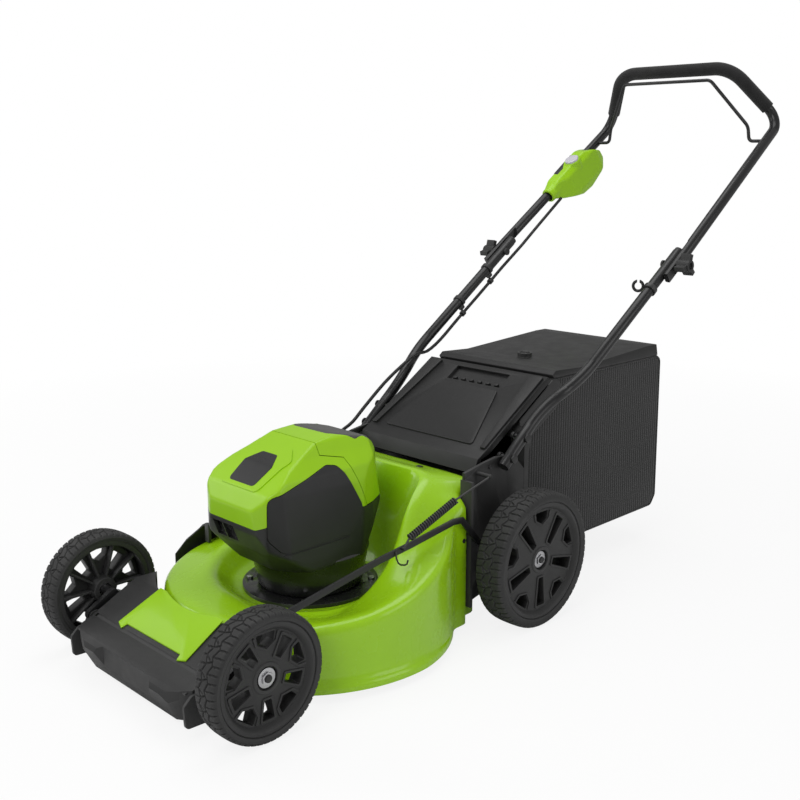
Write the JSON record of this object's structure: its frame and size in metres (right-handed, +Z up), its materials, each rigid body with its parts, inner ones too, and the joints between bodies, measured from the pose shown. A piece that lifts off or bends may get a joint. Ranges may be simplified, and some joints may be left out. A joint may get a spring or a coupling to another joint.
{
  "type": "push lawn mower",
  "caption": "Cordless walk-behind push lawn mower with rear grass bag, folding tube handle, bail switch and lever-set cutting height.",
  "frame": {"origin": "centre of the footprint on the ground", "axes": "the mower's front faces -Y, +X is the pusher's left, +Z is up"},
  "size_m": [0.562, 1.5763, 1.0465],
  "materials": {
    "lime_paint": "gloss",
    "lime_plastic": "gloss",
    "grey_plastic": "satin",
    "black_plastic": "matte",
    "yellow_plastic": "satin",
    "button_plastic": "satin",
    "rim_plastic": "satin",
    "tyre_rubber": "matte",
    "foam": "matte",
    "cable_rubber": "satin",
    "black_tube": "satin",
    "black_steel": "satin",
    "spring_steel": "satin",
    "zinc_steel": "satin",
    "bearing_steel": "polished",
    "motor_steel": "satin",
    "blade_steel": "satin",
    "cast_aluminium": "cast",
    "board": "satin",
    "bag_fabric": "woven"
  },
  "bodies": {
    "frame": {"deck_shell": "lime_paint", "rear_body": "black_plastic", "front_bumper": "grey_plastic", "badge_panel": "lime_plastic", "motor_ring": "black_plastic", "housing_lower": "grey_plastic", "housing_cover": "lime_plastic", "side_panels": "grey_plastic", "battery_tray": "black_plastic", "battery_pack": "black_plastic", "safety_key": "yellow_plastic", "motor_stator": "motor_steel", "control_board": "board", "motor_bearings": "bearing_steel", "axle_bushes": "black_plastic", "lower_tube_left": "black_tube", "lower_tube_right": "black_tube", "handle_bolts": "zinc_steel", "deck_bolts": "zinc_steel", "cable_lower": "cable_rubber", "cable_clips": "black_plastic", "rope_guide": "black_plastic", "flap_hinge_rod": "zinc_steel", "side_flap_hinge": "zinc_steel"},
    "front_crank": {"front_axle": "black_steel", "front_bearings": "bearing_steel", "front_hub_nuts": "zinc_steel"},
    "rear_crank": {"rear_axle": "black_steel", "rear_bearings": "bearing_steel", "rear_hub_nuts": "zinc_steel", "height_lever": "black_steel"},
    "link": {"link_rod": "black_steel", "assist_spring": "spring_steel"},
    "wheel_front_left": {"front_left_rim": "rim_plastic", "front_left_tyre": "tyre_rubber"},
    "wheel_front_right": {"front_right_rim": "rim_plastic", "front_right_tyre": "tyre_rubber"},
    "wheel_rear_left": {"rear_left_rim": "rim_plastic", "rear_left_tyre": "tyre_rubber"},
    "wheel_rear_right": {"rear_right_rim": "rim_plastic", "rear_right_tyre": "tyre_rubber"},
    "rotor": {"motor_rotor": "motor_steel", "blade_carrier": "cast_aluminium", "blade": "blade_steel", "blade_bolt": "zinc_steel"},
    "flap": {"rear_flap": "grey_plastic"},
    "hatch": {"battery_hatch": "lime_plastic"},
    "side_door": {"side_flap": "black_plastic"},
    "handle": {"handle_upper": "black_tube", "foam_grip": "foam", "switch_box": "lime_plastic", "cable_upper": "cable_rubber", "cable_fold": "cable_rubber"},
    "button": {"start_button": "button_plastic"},
    "bail": {"bail": "black_steel"},
    "knob_left": {"fold_knob_left": "black_plastic"},
    "knob_right": {"fold_knob_right": "black_plastic"},
    "bag": {"bag_fabric": "bag_fabric", "bag_cover": "grey_plastic", "bag_frame": "black_plastic"}
  },
  "joints": [
    {"name": "front_crank_turn", "type": "hinge", "parent": "frame", "child": "front_crank", "pos_m": [0, -0.7298, 0.0766], "axis": [1, 0, 0], "range_deg": [-60, 0]},
    {"name": "rear_crank_turn", "type": "hinge", "parent": "frame", "child": "rear_crank", "pos_m": [0, -0.1246, 0.102], "axis": [1, 0, 0], "range_deg": [-60, 0]},
    {"name": "link_turn", "type": "hinge", "parent": "front_crank", "child": "link", "pos_m": [0.2025, -0.7548, 0.1199], "axis": [1, 0, 0], "range_deg": [0, 60], "deforming": ["assist_spring"]},
    {"name": "wheel_front_left_spin", "type": "hinge", "parent": "front_crank", "child": "wheel_front_left", "pos_m": [0.234, -0.6865, 0.1016], "axis": [1, 0, 0], "continuous": true},
    {"name": "wheel_front_right_spin", "type": "hinge", "parent": "front_crank", "child": "wheel_front_right", "pos_m": [-0.234, -0.6865, 0.1016], "axis": [1, 0, 0], "continuous": true},
    {"name": "wheel_rear_left_spin", "type": "hinge", "parent": "rear_crank", "child": "wheel_rear_left", "pos_m": [0.2515, -0.0813, 0.127], "axis": [1, 0, 0], "continuous": true},
    {"name": "wheel_rear_right_spin", "type": "hinge", "parent": "rear_crank", "child": "wheel_rear_right", "pos_m": [-0.2515, -0.0813, 0.127], "axis": [1, 0, 0], "continuous": true},
    {"name": "blade_spin", "type": "hinge", "parent": "frame", "child": "rotor", "pos_m": [0, -0.3983, 0.1], "axis": [0, 0, 1], "continuous": true},
    {"name": "flap_lift", "type": "hinge", "parent": "frame", "child": "flap", "pos_m": [0, -0.1193, 0.29], "axis": [1, 0, 0], "range_deg": [0, 70], "stiffness_Nm_per_rad": 3, "springref_deg": -34.38},
    {"name": "hatch_lift", "type": "hinge", "parent": "frame", "child": "hatch", "pos_m": [0, -0.4288, 0.3695], "axis": [1, 0, 0], "range_deg": [0, 75]},
    {"name": "side_door_lift", "type": "hinge", "parent": "frame", "child": "side_door", "pos_m": [-0.226, -0.4013, 0.161], "axis": [0, 1, 0], "range_deg": [0, 70], "stiffness_Nm_per_rad": 1, "springref_deg": -34.38},
    {"name": "handle_fold", "type": "hinge", "parent": "frame", "child": "handle", "pos_m": [0, 0.3734, 0.6268], "axis": [1, 0, 0], "range_deg": [0, 135], "deforming": ["cable_fold"]},
    {"name": "bail_pull", "type": "hinge", "parent": "handle", "child": "bail", "pos_m": [0, 0.7297, 0.874], "axis": [-1, 0, 0], "range_deg": [0, 10], "stiffness_Nm_per_rad": 1.5, "springref_deg": -17.19},
    {"name": "button_press", "type": "slide", "parent": "handle", "child": "button", "axis": [0, 0.5678, -0.8231], "range_m": [0, 0.003], "stiffness_N_per_m": 400, "springref_m": -0.002},
    {"name": "knob_left_turn", "type": "hinge", "parent": "frame", "child": "knob_left", "pos_m": [0.252, 0.3734, 0.6268], "axis": [1, 0, 0], "continuous": true},
    {"name": "knob_right_turn", "type": "hinge", "parent": "frame", "child": "knob_right", "pos_m": [-0.252, 0.3734, 0.6268], "axis": [1, 0, 0], "continuous": true},
    {"name": "bag_pull", "type": "slide", "parent": "frame", "child": "bag", "axis": [0, 1, 0], "range_m": [0, 0.3]}
  ],
  "couplings": [
    {"joint": "rear_crank_turn", "follows": "front_crank_turn", "ratio": 1},
    {"joint": "link_turn", "follows": "front_crank_turn", "ratio": -1}
  ]
}
